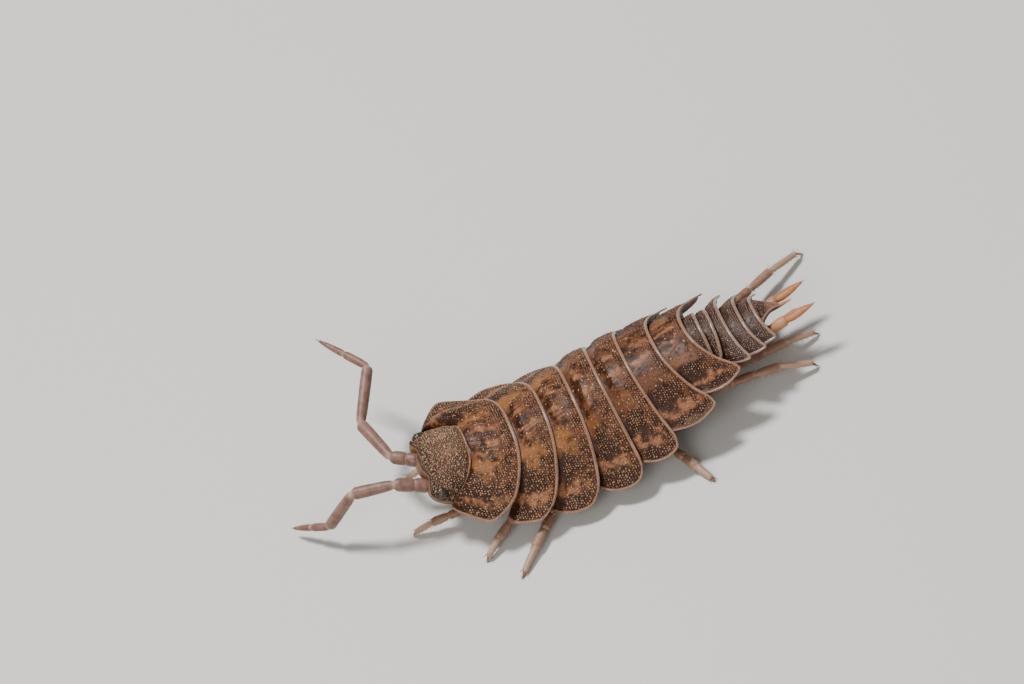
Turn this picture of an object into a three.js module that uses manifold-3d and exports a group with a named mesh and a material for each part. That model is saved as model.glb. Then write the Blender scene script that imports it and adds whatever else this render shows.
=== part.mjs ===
// A woodlouse, life size, standing still as a museum model.
// Millimetres. +X is the animal's left, +Y runs from head to tail, +Z is up and the feet stand on z = 0.
// Places on the body are given as (x, s, z): s runs along the back from the front of the head,
// z is the height above the ground before the body is bent and twisted.
import * as THREE from "three";
import { mergeVertices } from "three/addons/utils/BufferGeometryUtils.js";
import Module from "manifold-3d";

const wasm = await Module();
wasm.setup();

const { Vector3 } = THREE;
const radians = THREE.MathUtils.degToRad;
const mix = THREE.MathUtils.lerp;
const smoothstep = THREE.MathUtils.smoothstep;

// Stance: the ends of the body are raised and the tail is rolled against the head
const MIDDLE = 7.5;
const AXIS_HEIGHT = 1.2;
const LIFT = 0.25;
const CURVE = radians(16.3) / 13;
const TWIST = radians(16.2) / 13;

// The head is carried a little to the animal's right
const HEAD_ASIDE = 0.3;
const ASIDE_FROM = 3;
const ASIDE_TO = 1;

// The body's own middle, seen from the middle of the whole animal's box, feelers and feet included
const PLACE_X = 1.5;
const PLACE_Y = 1.8;

// Fits between neighbours
const GAP = 0.1;
const LIP = 0.12;
const BACK_OVERLAP = 0.3;
const TAIL_OVERLAP = 0.16;

// Back plates, front to tail: half width at the hind corners, half width of the front that lies under
// the plate before, how far the side bulges out and down between them and how deep its hind corner is rounded;
// height of the ridge and of the side edge; station of the hind margin on the midline, and how far
// its side corners are swept back and how suddenly
const PLATES = [
  { name: "pereonite_1", half: 3.17, front: 1.84, bulge: 0.11, corner: 0.42, ridge: 2.76, edge: 1.26, hind: 3.8, sweep: -1.73, bow: 3 },
  { name: "pereonite_2", half: 3.58, front: 2.85, bulge: 0.03, corner: 0.42, ridge: 2.87, edge: 0.85, hind: 5.22, sweep: -1.4, bow: 2.7 },
  { name: "pereonite_3", half: 3.78, front: 3.16, bulge: 0.12, corner: 0.38, ridge: 2.99, edge: 0.58, hind: 6.49, sweep: -0.81, bow: 3 },
  { name: "pereonite_4", half: 3.82, front: 3.08, bulge: 0.32, corner: 0.38, ridge: 3.18, edge: 0.69, hind: 7.7, sweep: 0.03, bow: 2.5 },
  { name: "pereonite_5", half: 3.59, front: 3.13, bulge: 0.42, corner: 0.26, ridge: 3.24, edge: 0.98, hind: 8.95, sweep: 0.46, bow: 2.8 },
  { name: "pereonite_6", half: 3.12, front: 3.02, bulge: 0.46, corner: 0.2, ridge: 3.12, edge: 1.36, hind: 10.24, sweep: 1.18, bow: 2.8 },
  { name: "pereonite_7", half: 2.53, front: 2.46, bulge: 0.46, corner: 0.16, ridge: 2.9, edge: 1.64, hind: 11.56, sweep: 1.33, bow: 2.7 },
  { name: "pleonite_1", half: 1.48, front: 1.4, bulge: 0, corner: 0.08, ridge: 2.68, edge: 1.82, hind: 12.12, sweep: -0.15, bow: 2.5 },
  { name: "pleonite_2", half: 1.6, front: 1.2, bulge: 0, corner: 0.08, ridge: 2.5, edge: 1.66, hind: 12.58, sweep: -0.35, bow: 2.5 },
  { name: "pleonite_3", half: 2.2, front: 1.34, bulge: 0.04, corner: 0.1, ridge: 2.27, edge: 1.42, hind: 13, sweep: 0.3, bow: 4 },
  { name: "pleonite_4", half: 1.92, front: 1.67, bulge: 0.04, corner: 0.1, ridge: 2.05, edge: 1.22, hind: 13.63, sweep: 0.36, bow: 4 },
  { name: "pleonite_5", half: 1.55, front: 1.5, bulge: 0.04, corner: 0.1, ridge: 1.83, edge: 1.07, hind: 14.2, sweep: 0.28, bow: 3.6 },
];
const FIRST_PLEONITE = 7;
const EDGE_THICKNESS = 0.2;
const EPIMERON_THICKNESS = 0.34;
const FIRST_FLARE = 0.65;
const BELLY_SHARE = 0.62;
const BELLY_RISE = 0.25;

// Head, with the rear margin that the first plate wraps round
const HEAD_REAR = { half: 1.84, ridge: 2.86, edge: 1.32, hind: 1.97, sweep: -1.46, bow: 3.5 };
const HEAD_FRONT = -0.06;
const HEAD_HALF = 1.74;
const HEAD_BOTTOM = 1;
const BROW_HEIGHT = 2.08;
const BROW_DROP = 0.32;
const LOBE_AT = 1.25;
const EYE_AT = [1.5, 0.36, 1.74];
const EYE_RADII = [0.22, 0.32, 0.26];

// Tail fan
const TELSON = { root: 0.98, tip: 15.1, tipHalf: 0.1, tipHeight: 1.18 };
const UROPOD = { root: [0.66, 14.5, 0.86], joint: [0.72, 14.95, 0.9], tip: [0.82, 16.2, 0.88] };
const ENDOPOD = { root: [0.5, 14.55, 0.8], tip: [0.34, 15.5, 0.82] };

// Legs: share of the length in basis, ischium, merus, carpus, propodus and dactylus, their
// thickness, and where each foot stands, on the left and on the right
const ARTICLE_SHARES = [0.27, 0.17, 0.13, 0.17, 0.19, 0.07];
const ARTICLE_RADII = [0.26, 0.25, 0.25, 0.23, 0.19, 0.1];
const JOINT_PINCH = 0.8;
const SOLE_RADIUS = 0.085;
const HIP_SHARE = 0.5;
const HIP_GAP = 0.14;
const BASIS_HEIGHT = 0.4;
const FEET = {
  left: [
    { x: 0.25, y: -8.9, knee: 0.9 },
    { x: 3.24, y: -6.74, knee: 0.75 },
    { x: 4.84, y: -5.8, knee: 0.45 },
    { x: 3, y: -1, knee: 0.5 },
    { x: 4.86, y: 2.35, knee: 0.5 },
    { x: 1.95, y: 7.85, knee: 1.6 },
    { x: 0.41, y: 8.46, knee: 1.1 },
  ],
  right: [
    { x: -2.6, y: -8.3, knee: 0.9 },
    { x: -4.3, y: -5.9, knee: 0.8 },
    { x: -4.9, y: -3.6, knee: 0.7 },
    { x: -4.4, y: 0.6, knee: 0.8 },
    { x: -4.2, y: 3.2, knee: 0.8 },
    { x: -3.3, y: 5.4, knee: 0.9 },
    { x: -3.88, y: 9.4, knee: 1.3 },
  ],
};

// Antennae: the ends of articles 3, 4, 5 and of the flagellum, as they are held
const ANTENNA_ROOT = [0.64, 0.06, 1.42];
const ANTENNAE = {
  left: [
    [0.05, -8.55, 2.8],
    [-0.55, -10.15, 2.75],
    [-1.2, -11.6, 1.1],
    [-2.7, -13.05, 0.45],
  ],
  right: [
    [-1.5, -8.25, 2.65],
    [-3.6, -8.78, 2.9],
    [-5.7, -7.6, 3.45],
    [-7.95, -9, 3.9],
  ],
};
const ANTENNA_RADII = { base: 0.3, article4: 0.23, article5: 0.2, flagellum: 0.14, tip: 0.04 };

const COLOURS = {
  plate: 0x5b5148,
  epimeron: 0x4a4038,
  limb: 0x8d7f76,
  eye: 0x0d0b0c,
  uropod: 0xa8683c,
  gill: 0xb9afa2,
};

// A place on the body, carried to where the bent and twisted body has it
function onBody(across, s, z) {
  const x = across - HEAD_ASIDE * (1 - smoothstep(s, ASIDE_TO, ASIDE_FROM));
  const along = s - MIDDLE;
  const roll = TWIST * along;
  const pitch = CURVE * along;
  const rise = z - AXIS_HEIGHT;
  const up = x * Math.sin(roll) + rise * Math.cos(roll);
  return new Vector3(
    x * Math.cos(roll) - rise * Math.sin(roll),
    Math.sin(pitch) / CURVE - up * Math.sin(pitch),
    (1 - Math.cos(pitch)) / CURVE + up * Math.cos(pitch) + AXIS_HEIGHT + LIFT,
  );
}

// A closed skin over rings of points, all with the same count, and a fan over each end
function loft(rings) {
  const count = rings[0].length;
  const points = rings.flat();
  const faces = [];
  for (let i = 0; i + 1 < rings.length; i++)
    for (let k = 0; k < count; k++) {
      const a = i * count + k;
      const b = i * count + ((k + 1) % count);
      faces.push(a, b, a + count, b, b + count, a + count);
    }
  for (const [first, turn] of [[0, false], [(rings.length - 1) * count, true]]) {
    const centre = new Vector3();
    for (let k = 0; k < count; k++) centre.addScaledVector(points[first + k], 1 / count);
    const hub = points.push(centre) - 1;
    for (let k = 0; k < count; k++) {
      const a = first + k;
      const b = first + ((k + 1) % count);
      faces.push(...(turn ? [a, b, hub] : [b, a, hub]));
    }
  }
  const shape = new THREE.BufferGeometry().setFromPoints(points);
  shape.setIndex(faces);
  return facingOut(shape);
}

// The same shape with its faces turned to point outwards
function facingOut(shape) {
  const place = shape.getAttribute("position");
  const index = shape.index.array;
  const corner = [new Vector3(), new Vector3(), new Vector3()];
  let volume = 0;
  for (let i = 0; i < index.length; i += 3) {
    corner.forEach((point, k) => point.fromBufferAttribute(place, index[i + k]));
    volume += corner[0].dot(corner[1].cross(corner[2]));
  }
  if (volume < 0)
    for (let i = 0; i < index.length; i += 3)
      [index[i], index[i + 1]] = [index[i + 1], index[i]];
  return shape;
}

// Joins and cuts on closed shapes
function solid(shape) {
  const bare = shape.clone();
  bare.deleteAttribute("normal");
  bare.deleteAttribute("uv");
  const merged = mergeVertices(bare, 1e-4);
  return new wasm.Manifold(
    new wasm.Mesh({
      numProp: 3,
      vertProperties: merged.getAttribute("position").array,
      triVerts: new Uint32Array(merged.index.array),
    }),
  );
}

function shapeOf(made) {
  const largest = made.decompose().reduce((a, b) => (a.volume() > b.volume() ? a : b));
  const { vertProperties, triVerts } = largest.getMesh();
  const shape = new THREE.BufferGeometry();
  shape.setAttribute("position", new THREE.BufferAttribute(vertProperties, 3));
  shape.setIndex(new THREE.BufferAttribute(triVerts, 1));
  return shape;
}

const joined = (shapes) => shapeOf(shapes.map(solid).reduce((a, b) => a.add(b)));
const cut = (shape, tools) => shapeOf(tools.map(solid).reduce((a, b) => a.subtract(b), solid(shape)));

// Outline of the plates
function arch(plate, share) {
  return plate.edge + (plate.ridge - plate.edge) * (1 - 1.12 * share ** 2 + 0.12 * share ** 6);
}

function hindMargin(plate, x) {
  const share = Math.min(1, Math.abs(x) / plate.half);
  return plate.hind + plate.sweep * share ** plate.bow;
}

// How far a plate covers the one behind it
const overlapOf = (index) => (index + 1 < FIRST_PLEONITE ? BACK_OVERLAP : TAIL_OVERLAP);

// A plate with the belly under it: at each place across the body, a closed outline from its front,
// over its back to the lip that covers the next plate, and back under the belly
const ACROSS = [-1, -0.97, -0.9, -0.78, -0.64, -0.6, -0.42, -0.21, 0, 0.21, 0.42, 0.6, 0.64, 0.78, 0.9, 0.97, 1];
const ALONG = [0, 0.17, 0.32, 0.5, 0.7, 0.85, 0.95, 1];
function plateShape(index) {
  const plate = PLATES[index];
  const before = index ? PLATES[index - 1] : HEAD_REAR;
  const tucked = index > 0;
  const overlapBefore = tucked ? overlapOf(index - 1) : 0;
  const overlap = overlapOf(index);
  const frontOf = (x) => hindMargin(before, x) - overlapBefore + GAP;
  const flare = tucked ? 1 : FIRST_FLARE;
  const wideAt = (v) =>
    mix(plate.front, plate.half, Math.sin((v ** flare * Math.PI) / 2)) + (plate.bulge / 2) * Math.sin(v * Math.PI);
  const cornerShare = 0.1 + 0.45 * plate.corner;
  const halfAt = (v) => {
    const turn = Math.max(0, (v - 1 + cornerShare) / cornerShare);
    return wideAt(v) - plate.corner * (1 - Math.sqrt(1 - Math.min(1, turn) ** 2));
  };
  const belly = mix(before.edge, plate.edge, 0.5) + BELLY_RISE;

  const topAt = (share, v) => {
    const x = share * halfAt(v);
    const drop = (plate.bulge / 2) * smoothstep(Math.abs(share), 0.55, 1);
    const own = arch(plate, x / wideAt(v)) + (0.03 - drop) * Math.sin(Math.PI * v);
    if (!tucked) {
      const collar = arch(before, share);
      return mix(collar, own, v ** 0.7) - 0.06 * (1 - v) ** 6;
    }
    const under = arch(before, Math.min(1, Math.abs(x) / before.half)) - LIP - GAP;
    return mix(Math.min(under, own), own, smoothstep(v, 0.17, 0.5));
  };
  const bottomAt = (share, top) => {
    const side = Math.abs(share);
    if (side < BELLY_SHARE) return Math.min(belly, top - EPIMERON_THICKNESS);
    return top - mix(EPIMERON_THICKNESS, EDGE_THICKNESS, (side - BELLY_SHARE) / (1 - BELLY_SHARE));
  };

  const rings = ACROSS.map((share) => {
    const back = ALONG.map((v) => {
      const x = share * halfAt(v);
      return { x, s: mix(frontOf(x), hindMargin(plate, x), v), z: topAt(share, v) };
    });
    const front = back[0];
    const rear = back[back.length - 1];
    const wall = rear.s - overlap;
    const wallX = mix(front.x, rear.x, 0.9);
    const under = [
      { x: rear.x, s: rear.s, z: rear.z - LIP },
      { x: wallX, s: wall, z: rear.z - LIP },
      { x: wallX, s: wall - 0.02, z: Math.min(bottomAt(share, rear.z), rear.z - LIP - 0.03) },
      { x: mix(front.x, wallX, 0.5), s: mix(front.s, wall, 0.5), z: bottomAt(share, topAt(share, 0.5)) },
      { x: front.x, s: front.s + 0.03, z: Math.min(bottomAt(share, topAt(share, 0.1)), front.z - 0.08) },
    ];
    return [...back, ...under].map((p) => onBody(p.x, p.s, p.z));
  });
  return loft(rings);
}

// Head: the brow has a blunt middle, a hollow over each antenna and a lobe at each side
function browAt(x) {
  const side = Math.abs(x);
  const rounding = 0.7 * Math.max(0, (side - LOBE_AT) / (HEAD_HALF - LOBE_AT)) ** 2;
  const hollow = 0.15 * Math.exp(-(((side - 0.68) / 0.28) ** 2));
  return HEAD_FRONT + rounding + hollow;
}

function headShape() {
  const stations = [-1, -0.97, -0.9, -0.8, -0.7, -0.58, -0.42, -0.28, -0.14, 0];
  const across = [...stations, ...stations.slice(0, -1).reverse().map((v) => -v)];
  const rings = across.map((share) => {
    const x = share * HEAD_HALF;
    const brow = browAt(x);
    const browTop = BROW_HEIGHT - BROW_DROP * (x / LOBE_AT) ** 2;
    const rear = Math.max(brow + 0.14, hindMargin(HEAD_REAR, x) - GAP / 2);
    const crown = arch(HEAD_REAR, Math.abs(x) / HEAD_REAR.half) - 0.02;
    const bottom = Math.min(HEAD_BOTTOM, browTop - 0.3);
    const over = [0, 0.08, 0.25, 0.5, 0.78, 1].map((v) => ({
      s: mix(brow, rear, v),
      z: mix(browTop, crown, Math.sin((v * Math.PI) / 2)) + 0.05 * Math.sin(Math.PI * v),
    }));
    const face = Math.min(0.42, (rear - brow) * 0.6);
    const under = [
      { s: rear - 0.02, z: mix(crown, bottom, 0.5) },
      { s: mix(brow, rear, 0.85), z: bottom + 0.03 },
      { s: brow + face, z: bottom },
      { s: brow + face * 0.7, z: mix(bottom, browTop, 0.45) },
      { s: brow + Math.min(0.14, face * 0.4), z: browTop - 0.14 },
    ];
    return [...over, ...under].map((p) => onBody(x, p.s, p.z));
  });
  const eyeSockets = [1, -1].map((side) => eyeShape(side, GAP * 0.7));
  return cut(loft(rings), eyeSockets);
}

function eyeShape(side, grown) {
  const ball = new THREE.SphereGeometry(1, 14, 8);
  ball.scale(...EYE_RADII.map((r) => r + grown));
  ball.rotateY(side * radians(-35));
  const [x, s, z] = EYE_AT;
  const centre = onBody(side * x, s, z);
  ball.translate(centre.x, centre.y, centre.z);
  return shapeOf(solid(ball));
}

// Two broad flaps side by side under the head, with the pointed jaws in front of them
function mouthShape() {
  const flap = (side) =>
    loft(
      [0.28, 0.42, 0.75, 1.1, 1.35].map((s, i) => {
        const half = [0.1, 0.22, 0.27, 0.27, 0.2][i];
        const drop = [0.12, 0.22, 0.27, 0.25, 0.16][i];
        return ring(8, (c, d) => onBody(side * (0.24 + half * c * 0.95), s, HEAD_BOTTOM - GAP - drop + drop * d * 0.95));
      }),
    );
  return joined([flap(1), flap(-1)]);
}

// Points round a closed ring
function ring(count, at) {
  return Array.from({ length: count }, (_, k) => {
    const angle = ((k + 0.5) / count) * 2 * Math.PI;
    return at(Math.cos(angle), Math.sin(angle));
  });
}

// A limb along a path, mitred at its bends. Each end may be given the face that it stops on
function limb(path, radii, sides, startFace, endFace) {
  const ways = path.slice(1).map((point, i) => point.clone().sub(path[i]).normalize());
  let across = new Vector3(0, 0, 1).cross(ways[0]).normalize();
  if (across.lengthSq() < 0.5) across = new Vector3(1, 0, 0);
  const rings = path.map((point, i) => {
    const way = ways[Math.max(0, i - 1)];
    const next = ways[Math.min(ways.length - 1, i)];
    let face = way.clone().add(next).normalize();
    if (i === 0 && startFace) face = startFace;
    if (i === path.length - 1 && endFace) face = endFace;
    if (i > 1) across.applyQuaternion(new THREE.Quaternion().setFromUnitVectors(ways[i - 2], way));
    const up = way.clone().cross(across);
    return ring(sides, (c, d) => {
      const out = across.clone().multiplyScalar(c * radii[i]).addScaledVector(up, d * radii[i]);
      return point.clone().add(out).addScaledVector(way, -out.dot(face) / way.dot(face));
    });
  });
  return loft(rings);
}

// A leg curves from the hip, in under the belly, over the knee and down to a small flat sole
function legShape(side, index) {
  const plate = PLATES[index];
  const before = index ? PLATES[index - 1] : HEAD_REAR;
  const sign = side === "left" ? 1 : -1;
  const foot = FEET[side][index];
  const hipX = HIP_SHARE * plate.half;
  const hipS = mix(hindMargin(before, hipX), hindMargin(plate, hipX), 0.42);
  const belly = mix(before.edge, plate.edge, 0.5) + BELLY_RISE;
  const hip = onBody(sign * hipX, hipS, belly - HIP_GAP);
  const sole = new Vector3(foot.x, foot.y, 0);
  const curve = new THREE.CubicBezierCurve3(
    hip,
    new Vector3(hip.x * 0.82, mix(hip.y, sole.y, 0.12), BASIS_HEIGHT),
    new Vector3(mix(hip.x, sole.x, 0.91), mix(hip.y, sole.y, 0.91), foot.knee),
    sole,
  );
  const path = [];
  const radii = [];
  let share = 0;
  ARTICLE_SHARES.forEach((length, k) => {
    const thick = ARTICLE_RADII[k];
    path.push(curve.getPointAt(share), curve.getPointAt(share + length * 0.55));
    radii.push(thick * (k ? JOINT_PINCH : 1), thick);
    share += length;
  });
  path.push(sole);
  radii.push(SOLE_RADIUS);
  const hipFace = new Vector3(0, 0, -1);
  return limb(path, radii, 7, hipFace, hipFace);
}

// An antenna: a base of three short articles, two long ones and a whip of two
function antennaShapes(side) {
  const sign = side === "left" ? 1 : -1;
  const [x, s, z] = ANTENNA_ROOT;
  const root = onBody(sign * x, s, z);
  const [knob, knee, elbow, tip] = ANTENNAE[side].map((at) => new Vector3(...at));
  const joints = [root, knob, knee, elbow, tip];
  const ways = joints.slice(1).map((point, i) => point.clone().sub(joints[i]).normalize());
  const faceAt = (i) => ways[Math.max(0, i - 1)].clone().add(ways[Math.min(3, i)]).normalize();
  const article = (i, shares, radii) => {
    const startShift = i ? GAP / 2 / ways[i].dot(faceAt(i)) : 0;
    const endShift = i < 3 ? GAP / 2 / ways[i].dot(faceAt(i + 1)) : 0;
    const start = joints[i].clone().addScaledVector(ways[i], startShift);
    const end = joints[i + 1].clone().addScaledVector(ways[i], -endShift);
    const path = shares.map((share) => start.clone().lerp(end, share));
    return limb(path, radii, 8, faceAt(i), faceAt(i + 1));
  };
  const { base, article4, article5, flagellum, tip: end } = ANTENNA_RADII;
  return {
    base: article(0, [0, 0.18, 0.3, 0.36, 0.55, 0.62, 0.66, 0.85, 1],
      [0.7, 0.8, 0.75, 0.72, 1, 0.95, 0.84, 1.05, 0.9].map((k) => k * base)),
    article_4: article(1, [0, 0.25, 0.7, 0.92, 1], [0.66, 0.86, 1, 1.02, 0.85].map((k) => k * article4)),
    article_5: article(2, [0, 0.2, 0.7, 0.93, 1], [0.7, 0.88, 1, 1.02, 0.85].map((k) => k * article5)),
    flagellum: article(3, [0, 0.12, 0.4, 0.45, 0.5, 0.8, 0.97, 1],
      [0.85 * flagellum, flagellum, 0.98 * flagellum, 0.78 * flagellum, 0.86 * flagellum, 0.62 * flagellum, end * 1.4, end]),
  };
}

// Last plate: a triangle with hollow sides, drawn out to a point
function telsonShape() {
  const before = PLATES[PLATES.length - 1];
  const front = (x) => hindMargin(before, x) - TAIL_OVERLAP + GAP;
  const rings = [0, 0.2, 0.36, 0.55, 0.75, 0.92, 1].map((v) => {
    const half = mix(TELSON.tipHalf, TELSON.root, (1 - v) ** 1.5);
    const ridge = mix(before.ridge - LIP - GAP - 0.03, TELSON.tipHeight, v ** 1.2) + 0.05 * Math.sin(Math.PI * v);
    const deep = mix(0.62, 0.16, v);
    const shares = [-1, -0.75, -0.4, 0, 0.4, 0.75, 1];
    const over = shares.map((share) => {
      const x = share * half;
      return onBody(x, mix(front(x), TELSON.tip, v), ridge - 0.26 * half * share ** 2);
    });
    const under = [0.9, 0.5, 0, -0.5, -0.9].map((share) => {
      const x = share * half;
      return onBody(x, mix(front(x) + 0.02, TELSON.tip - 0.04, v), ridge - deep + 0.1 * half * share ** 2);
    });
    return [...over, ...under];
  });
  return loft(rings);
}

// Uropod: a short root with a long leaf-shaped outer branch and a slim inner one
function uropodShape(sign) {
  const flat = (stations, from, to, width, depth) => {
    const rings = stations.map(([share, swell]) =>
      ring(8, (c, d) =>
        onBody(
          sign * (mix(from[0], to[0], share) + (width / 2) * swell * c),
          mix(from[1], to[1], share),
          mix(from[2], to[2], share) + (depth / 2) * swell * d,
        ),
      ),
    );
    return loft(rings);
  };
  const root = flat([[0, 0.85], [0.3, 1], [1, 0.96], [1.15, 0.6]], UROPOD.root, UROPOD.joint, 0.5, 0.5);
  const outer = flat(
    [[-0.06, 0.5], [0.05, 0.8], [0.25, 1], [0.5, 0.92], [0.78, 0.56], [0.94, 0.26], [1, 0.12]],
    UROPOD.joint, UROPOD.tip, 0.5, 0.42,
  );
  const inner = flat([[-0.1, 0.9], [0.3, 1], [0.75, 0.62], [1, 0.25]], ENDOPOD.root, ENDOPOD.tip, 0.26, 0.24);
  return joined([root, outer, inner]);
}

// Gill flaps: five that lie over one another like tiles, joined along their outer root
const FLAP_COUNT = 5;
const FLAP_START = 11.62;
const FLAP_STEP = 0.44;
function pleopodShape(sign) {
  const flaps = Array.from({ length: FLAP_COUNT }, (_, i) => {
    const s = FLAP_START + FLAP_STEP * i;
    const outer = mix(0.76, 0.42, i / (FLAP_COUNT - 1));
    const rings = [0, 0.3, 0.7, 1].map((v) => {
      const wide = [0.9, 1, 0.86, 0.45][Math.round(v * 3)];
      const high = 1.02 - 0.26 * v;
      return ring(8, (c, d) =>
        onBody(sign * (0.08 + (outer * (1 + wide * c)) / 2), s + 0.95 * v, high + 0.06 * d - 0.03 * v));
    });
    return loft(rings);
  });
  const rootLine = [0, 0.5, 1].map((v) =>
    ring(6, (c, d) =>
      onBody(sign * (mix(0.55, 0.4, v) + 0.14 * c), mix(FLAP_START + 0.08, FLAP_START + 2.1, v), 1.03 + 0.07 * d)),
  );
  return joined([loft(rootLine), ...flaps]);
}

// The finished group
const woodlouse = new THREE.Group();
woodlouse.name = "woodlouse";
woodlouse.position.set(PLACE_X, PLACE_Y, 0);

function add(name, shape, colour, roughness = 0.6) {
  shape.computeBoundingBox();
  const centre = shape.boundingBox.getCenter(new Vector3());
  shape.translate(-centre.x, -centre.y, -centre.z);
  shape.computeVertexNormals();
  const finish = new THREE.MeshStandardMaterial({ color: colour, roughness, metalness: 0 });
  const mesh = new THREE.Mesh(shape, finish);
  mesh.name = name;
  mesh.position.copy(centre);
  woodlouse.add(mesh);
}

add("cephalon", headShape(), COLOURS.plate);
add("mouthparts", mouthShape(), COLOURS.limb);
PLATES.forEach((plate, i) => add(plate.name, plateShape(i), i < FIRST_PLEONITE ? COLOURS.plate : COLOURS.epimeron));
add("pleotelson", telsonShape(), COLOURS.epimeron);
for (const [side, sign] of [["left", 1], ["right", -1]]) {
  add(`eye_${side}`, eyeShape(sign, 0), COLOURS.eye, 0.25);
  for (const [part, shape] of Object.entries(antennaShapes(side)))
    add(`antenna_${side}_${part}`, shape, COLOURS.limb);
  for (let i = 0; i < FIRST_PLEONITE; i++)
    add(`pereopod_${side}_${i + 1}`, legShape(side, i), COLOURS.limb);
  add(`uropod_${side}`, uropodShape(sign), COLOURS.uropod);
  add(`pleopods_${side}`, pleopodShape(sign), COLOURS.gill);
}

export default woodlouse;
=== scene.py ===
"""A rough woodlouse, life size, as a still museum model on a plain pale floor.

Shapes are worked out in millimetres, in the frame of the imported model, and made in metres.
+X is the animal's left, +Y runs from head to tail, +Z is up. Places on the body are (x, s, z):
s runs along the back from the front of the head, z is the height before the body is bent and twisted.
"""

import math

import bpy
import numpy as np
from mathutils import Matrix, Vector

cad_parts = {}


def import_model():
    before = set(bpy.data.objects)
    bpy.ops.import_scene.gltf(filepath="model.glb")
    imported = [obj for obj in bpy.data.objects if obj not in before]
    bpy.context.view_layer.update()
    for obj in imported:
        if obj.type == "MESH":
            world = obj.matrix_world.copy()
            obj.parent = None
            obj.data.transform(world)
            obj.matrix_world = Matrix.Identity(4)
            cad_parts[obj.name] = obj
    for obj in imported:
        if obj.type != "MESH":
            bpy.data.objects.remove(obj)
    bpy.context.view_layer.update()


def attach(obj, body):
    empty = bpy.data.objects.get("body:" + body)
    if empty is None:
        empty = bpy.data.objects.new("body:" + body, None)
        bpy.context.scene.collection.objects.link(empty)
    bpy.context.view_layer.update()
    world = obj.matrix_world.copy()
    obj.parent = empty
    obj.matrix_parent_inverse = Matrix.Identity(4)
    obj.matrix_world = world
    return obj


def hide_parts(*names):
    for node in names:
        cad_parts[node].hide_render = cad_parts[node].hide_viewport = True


MM = 0.001
SIGNS = {"left": 1, "right": -1}

# Stance, as in the solids
MIDDLE = 7.5
AXIS_HEIGHT = 1.2
LIFT = 0.25
CURVE = math.radians(16.3) / 13
TWIST = math.radians(16.2) / 13
HEAD_ASIDE = 0.3
ASIDE_FROM = 3.0
ASIDE_TO = 1.0
PLACE = np.array([1.5, 1.8, 0.0])

# Fits between neighbours in the finished skin
GAP = 0.02
LIP = 0.075
BACK_OVERLAP = 0.3
TAIL_OVERLAP = 0.16

# Back plates: half width behind and in front, swell of the sides, how far the hind corners are drawn in,
# height of ridge and edge, hind margin on the midline, sweep of its corners and how late the sweep sets in
PLATE_VALUES = ("name", "half", "front", "bulge", "corner", "ridge", "edge", "hind", "sweep", "bow")
PLATE_ROWS = [
    ("pereonite_1", 3.17, 1.84, 0.11, 0.42, 2.76, 1.26, 3.8, -1.73, 3),
    ("pereonite_2", 3.58, 2.85, 0.03, 0.42, 2.87, 0.85, 5.22, -1.4, 2.7),
    ("pereonite_3", 3.78, 3.16, 0.12, 0.38, 2.99, 0.58, 6.49, -0.81, 3),
    ("pereonite_4", 3.82, 3.08, 0.32, 0.38, 3.18, 0.69, 7.7, 0.03, 2.5),
    ("pereonite_5", 3.59, 3.13, 0.42, 0.26, 3.24, 0.98, 8.95, 0.46, 2.8),
    ("pereonite_6", 3.12, 3.02, 0.46, 0.2, 3.12, 1.36, 10.24, 1.18, 2.8),
    ("pereonite_7", 2.53, 2.46, 0.46, 0.16, 2.9, 1.64, 11.56, 1.33, 2.7),
    ("pleonite_1", 1.48, 1.4, 0, 0.08, 2.68, 1.82, 12.12, -0.15, 2.5),
    ("pleonite_2", 1.6, 1.2, 0, 0.08, 2.5, 1.66, 12.58, -0.35, 2.5),
    ("pleonite_3", 2.2, 1.34, 0.04, 0.1, 2.27, 1.42, 13, 0.3, 4),
    ("pleonite_4", 1.92, 1.67, 0.04, 0.1, 2.05, 1.22, 13.63, 0.36, 4),
    ("pleonite_5", 1.55, 1.5, 0.04, 0.1, 1.83, 1.07, 14.2, 0.28, 3.6),
]
PLATES = [dict(zip(PLATE_VALUES, row)) for row in PLATE_ROWS]
FIRST_PLEONITE = 7
FINENESS = 0.018
BACK_FILLET = 0.3
TAIL_FILLET = 0.14
FIRST_FILLET = 0.5
FIRST_CORNER = 0.35
FIRST_FLARE = 0.65
RIM_DIP = 0.045
EDGE_THICKNESS = 0.14
EPIMERON_THICKNESS = 0.3
BELLY_SHARE = 0.62
BELLY_RISE = 0.25
LIP_ANGLES = (25, 60, 90, 120, 155)

# Relief of the plates: grains over the back and a row of beads along the hind margin; and pale specks
# painted in as glints, painted highlights with no relief
GRAIN_SPACING = 0.096
MIDDLE_GRAIN = 0.03
SIDE_GRAIN = 0.037
TAIL_GRAIN_SPACING = 0.085
TAIL_GRAIN = 0.028
GRAIN_HEIGHT = 0.026
BEAD_SPACING = 0.085
BEAD = 0.034
BEAD_HEIGHT = 0.012
BEAD_INSET = 0.1
GLINT_SPACING = 0.15
GLINT = 0.03
GLINT_SHARE = 0.26
WAVE_HEIGHT = 0.03
RIPPLE_HEIGHT = 0.012
STREAK_HEIGHT = 0.012
BORDER_HEIGHT = 0.009
BORDER_FULL = 0.07
BORDER_END = 0.105

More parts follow.
